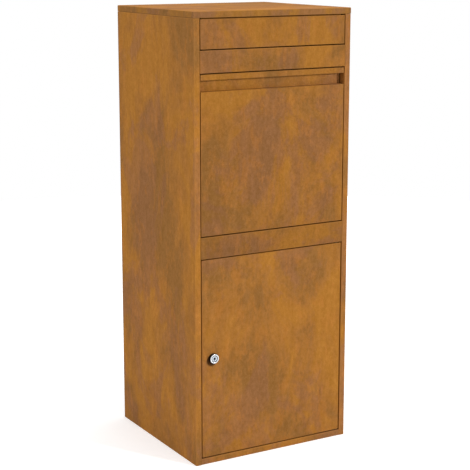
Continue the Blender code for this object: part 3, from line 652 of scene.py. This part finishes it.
def faded(share, power):
    # 1 in the middle of a face, falling to 0 at its edges.
    return np.clip(1.0 - np.abs(share) ** power, 0.0, 1.0)


def roundCutter(name, radius, centre, axis, start, reach):
    profile = np.array([(radius, start + end) for end in reach])
    # The cutter's dark finish passes to the hole walls: painted shade in the holes.
    return turnedPiece(name, profile, centre, axis, stainedAndShaded, doorSettings["holeSteps"])


def makeDoor():
    # Folded pan with a barely swelled face: sine waves across and up, fading out towards the folds.
    settings = doorSettings
    low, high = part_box("door_panel")
    middle, half = (low + high) / 2, (high - low) / 2
    depth = high.y - low.y
    out, back = foldPath(settings["foldRadius"], depth, settings["foldSteps"], settings["flangeSteps"])
    u, v, level = panSurface(half.x, half.z, out, back, settings["faceLines"])
    shareU, shareV = u / half.x, v / half.z
    turnsU, turnsV = settings["swellTurns"]
    phaseU, phaseV = settings["swellPhases"]
    fade = faded(shareU, settings["fadePower"]) * faded(shareV, settings["fadePower"])
    wave = np.sin(np.pi * turnsU * shareU + phaseU) * np.cos(np.pi * turnsV * shareV + phaseV)
    level = level + settings["swell"] * fade * (0.5 + 0.5 * wave)
    points = np.stack([middle.x + u, low.y + level, middle.z + v], axis=-1).reshape(-1, 3)
    piece = meshPiece("doorSkin", points, gridFaces(*u.shape), rustMaterials["door_panel"])
    wall = piece.modifiers.new("sheet", "SOLIDIFY")
    wall.thickness = sheetThickness
    wall.use_even_offset = True
    facing = piece.data.polygons[len(piece.data.polygons) // 2].normal.y
    wall.offset = -1.0 if facing < 0 else 1.0  # the wall grows inwards
    applyModifiers(piece)
    facesOutward(piece)
    lockCentre = roundNode("lock_body")[0]
    cutters = [roundCutter("lockHole", settings["lockHole"], lockCentre, "y", low.y,
                           settings["lockHoleReach"])]
    for pin, end in (("door_pin_top", high.z), ("door_pin_bottom", low.z)):
        pinMiddle = (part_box(pin)[0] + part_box(pin)[1]) / 2
        cutters.append(roundCutter("pinHole", settings["pinHole"], (pinMiddle.x, pinMiddle.y), "z", end,
                                   settings["pinHoleReach"]))
    cutHoles(piece, cutters)
    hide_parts("door_panel")
    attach(piece, "door_body")


makeDoor()
print("door")


# Rivets of the hopper

rivetSettings = {
    "steps": 40,
    "domeSteps": 6,
    "headHeight": 0.0008,
    "shankRadius": 0.0016,
    "tailHeight": 0.0016,
    "tailRadius": 0.0026,
    "stemRadius": 0.0004,
    "holeRadius": 0.0008,
    "holeFloor": 0.00072,
    "holeDepth": 0.0006,
}


def makeRivet(side, number):
    # Blind rivet: upset tail, shank and head, both domes quarter ellipses, and in the head the hole
    # that the drawn-out stem leaves.
    settings = rivetSettings
    node = "hopper_rivet_" + side + "_" + str(number)
    low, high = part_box(node)
    hand = -1.0 if side == "left" else 1.0
    outer, inner = (high.x, low.x) if hand > 0 else (low.x, high.x)
    headRadius, tailRadius = (high.z - low.z) / 2, settings["tailRadius"]
    stem, hole, shank = settings["stemRadius"], settings["holeRadius"], settings["shankRadius"]
    tailFace = inner + hand * settings["tailHeight"]
    headFace = outer - hand * settings["headHeight"]
    turn = np.linspace(0.0, np.pi / 2, settings["domeSteps"] + 1)
    tail = np.stack([stem + (tailRadius - stem) * np.sin(turn),
                     tailFace + (inner - tailFace) * np.cos(turn)], axis=-1)
    head = np.stack([hole + (headRadius - hole) * np.cos(turn),
                     headFace + (outer - headFace) * np.sin(turn)], axis=-1)
    floor = [(settings["holeFloor"], outer - hand * settings["holeDepth"])]
    profile = np.concatenate([tail, [(shank, tailFace), (shank, headFace)], head, floor])
    centre = ((low.y + high.y) / 2, (low.z + high.z) / 2)
    name = "hopperRivet" + side.capitalize() + str(number)
    piece = turnedPiece(name, profile, centre, "x", zinc, settings["steps"])
    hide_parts(node)
    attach(piece, "parcel_flap_body")


for side in ("left", "right"):
    for number in (1, 2, 3):
        makeRivet(side, number)
print("rivets")


# Camera

viewSettings = {
    "place": (-1.5816, -2.7292, 1.1774),
    "turn": 30.22,
    "tilt": 11.659,
    "lens": 100.92,
    "sensor": 36.0,
    "shift": -0.03,
}
camera = bpy.data.objects.new("camera", bpy.data.cameras.new("camera"))
camera.data.lens = viewSettings["lens"]
camera.data.sensor_width = viewSettings["sensor"]
camera.data.shift_y = viewSettings["shift"]
camera.location = viewSettings["place"]
pitch, yaw = math.radians(90.0 - viewSettings["tilt"]), -math.radians(viewSettings["turn"])
camera.rotation_euler = (pitch, 0.0, yaw)
bpy.context.scene.collection.objects.link(camera)
bpy.context.scene.camera = camera


# Floor

floorSettings = {
    "radius": 3.2,
    "rings": 24,
    "steps": 96,
    "below": 0.0002,
    "colour": (0.86, 0.86, 0.86),
    "roughness": 0.95,
    "glow": 0.42,  # lift towards white in the middle; it is 1 from fadeTo on
    "fadeFrom": 0.9,
    "fadeTo": 2.6,
}


def whiteRays(tree):
    # 1 for rays that come from the camera or from a gloss, 0 for those that light the object.
    rays = addNode(tree, "ShaderNodeLightPath")
    return maths(tree, "MAXIMUM", rays.outputs["Is Camera Ray"], rays.outputs["Is Glossy Ray"])


def makeFloor():
    # Pale disc round the object: ring k has radius k / rings of the whole. Camera rays see it
    # lifted towards white, fully so near its rim, and it keeps the shadow in the middle.
    settings = floorSettings
    steps = settings["steps"]
    radius = np.linspace(0.0, settings["radius"], settings["rings"])[1:, None]
    angle = np.linspace(0.0, 2.0 * np.pi, steps, endpoint=False)[None, :]
    level = -settings["below"] + 0.0 * radius * angle
    points = np.stack([radius * np.cos(angle), radius * np.sin(angle), level], axis=-1).reshape(-1, 3)
    faces = [list(face) for face in gridFaces(settings["rings"] - 1, steps, wrapColumns=True)]
    faces.append(list(range(steps)))
    material, tree, shader = newMaterial("paleFloor")
    shader.inputs["Base Color"].default_value = (*settings["colour"], 1.0)
    shader.inputs["Roughness"].default_value = settings["roughness"]
    shader.inputs["Specular IOR Level"].default_value = 0.0
    distance = addNode(tree, "ShaderNodeVectorMath", operation="LENGTH")
    tree.links.new(addNode(tree, "ShaderNodeTexCoord").outputs["Object"], distance.inputs[0])
    start, end = settings["fadeFrom"], settings["fadeTo"]
    rise = smoothStep(tree, distance.outputs["Value"], start, end, settings["glow"], 1.0)
    shader.inputs["Emission Color"].default_value = (1.0, 1.0, 1.0, 1.0)
    glow = maths(tree, "MULTIPLY", rise, whiteRays(tree))
    tree.links.new(glow, shader.inputs["Emission Strength"])
    meshPiece("floor", points, faces, material)


makeFloor()


# Light

worldSettings = {"light": 0.585, "backdrop": 1.0}
world = bpy.data.worlds.new("studio")
bpy.context.scene.world = world
world.use_nodes = True
worldTree = world.node_tree
background = worldTree.nodes["Background"]
background.inputs["Color"].default_value = (1.0, 1.0, 1.0, 1.0)
level = addNode(worldTree, "ShaderNodeMapRange")
level.inputs["To Min"].default_value = worldSettings["light"]
level.inputs["To Max"].default_value = worldSettings["backdrop"]
worldTree.links.new(whiteRays(worldTree), level.inputs["Value"])
worldTree.links.new(level.outputs["Result"], background.inputs["Strength"])

lampSettings = {
    "key": {"place": (2.2, -4.3, 2.0), "aim": (0.0, 0.0, 0.5), "size": 0.28, "power": 119.0},
    "left": {"place": (-4.0, -0.8, 1.5), "aim": (0.0, 0.0, 0.5), "size": 2.6, "power": 51.0},
    "top": {"place": (0.4, -0.2, 3.6), "aim": (0.0, 0.0, 1.0), "size": 2.0, "power": 47.0},
}
for name, lamp in lampSettings.items():
    light = bpy.data.lights.new(name, "AREA")
    light.shape = "DISK"
    light.size = lamp["size"]
    light.energy = lamp["power"]
    holder = bpy.data.objects.new(name, light)
    holder.location = lamp["place"]
    aim = Vector(lamp["aim"]) - Vector(lamp["place"])
    holder.rotation_euler = aim.to_track_quat("-Z", "Y").to_euler()
    bpy.context.scene.collection.objects.link(holder)

bpy.context.scene.view_settings.view_transform = "Standard"
print("camera, floor and light")
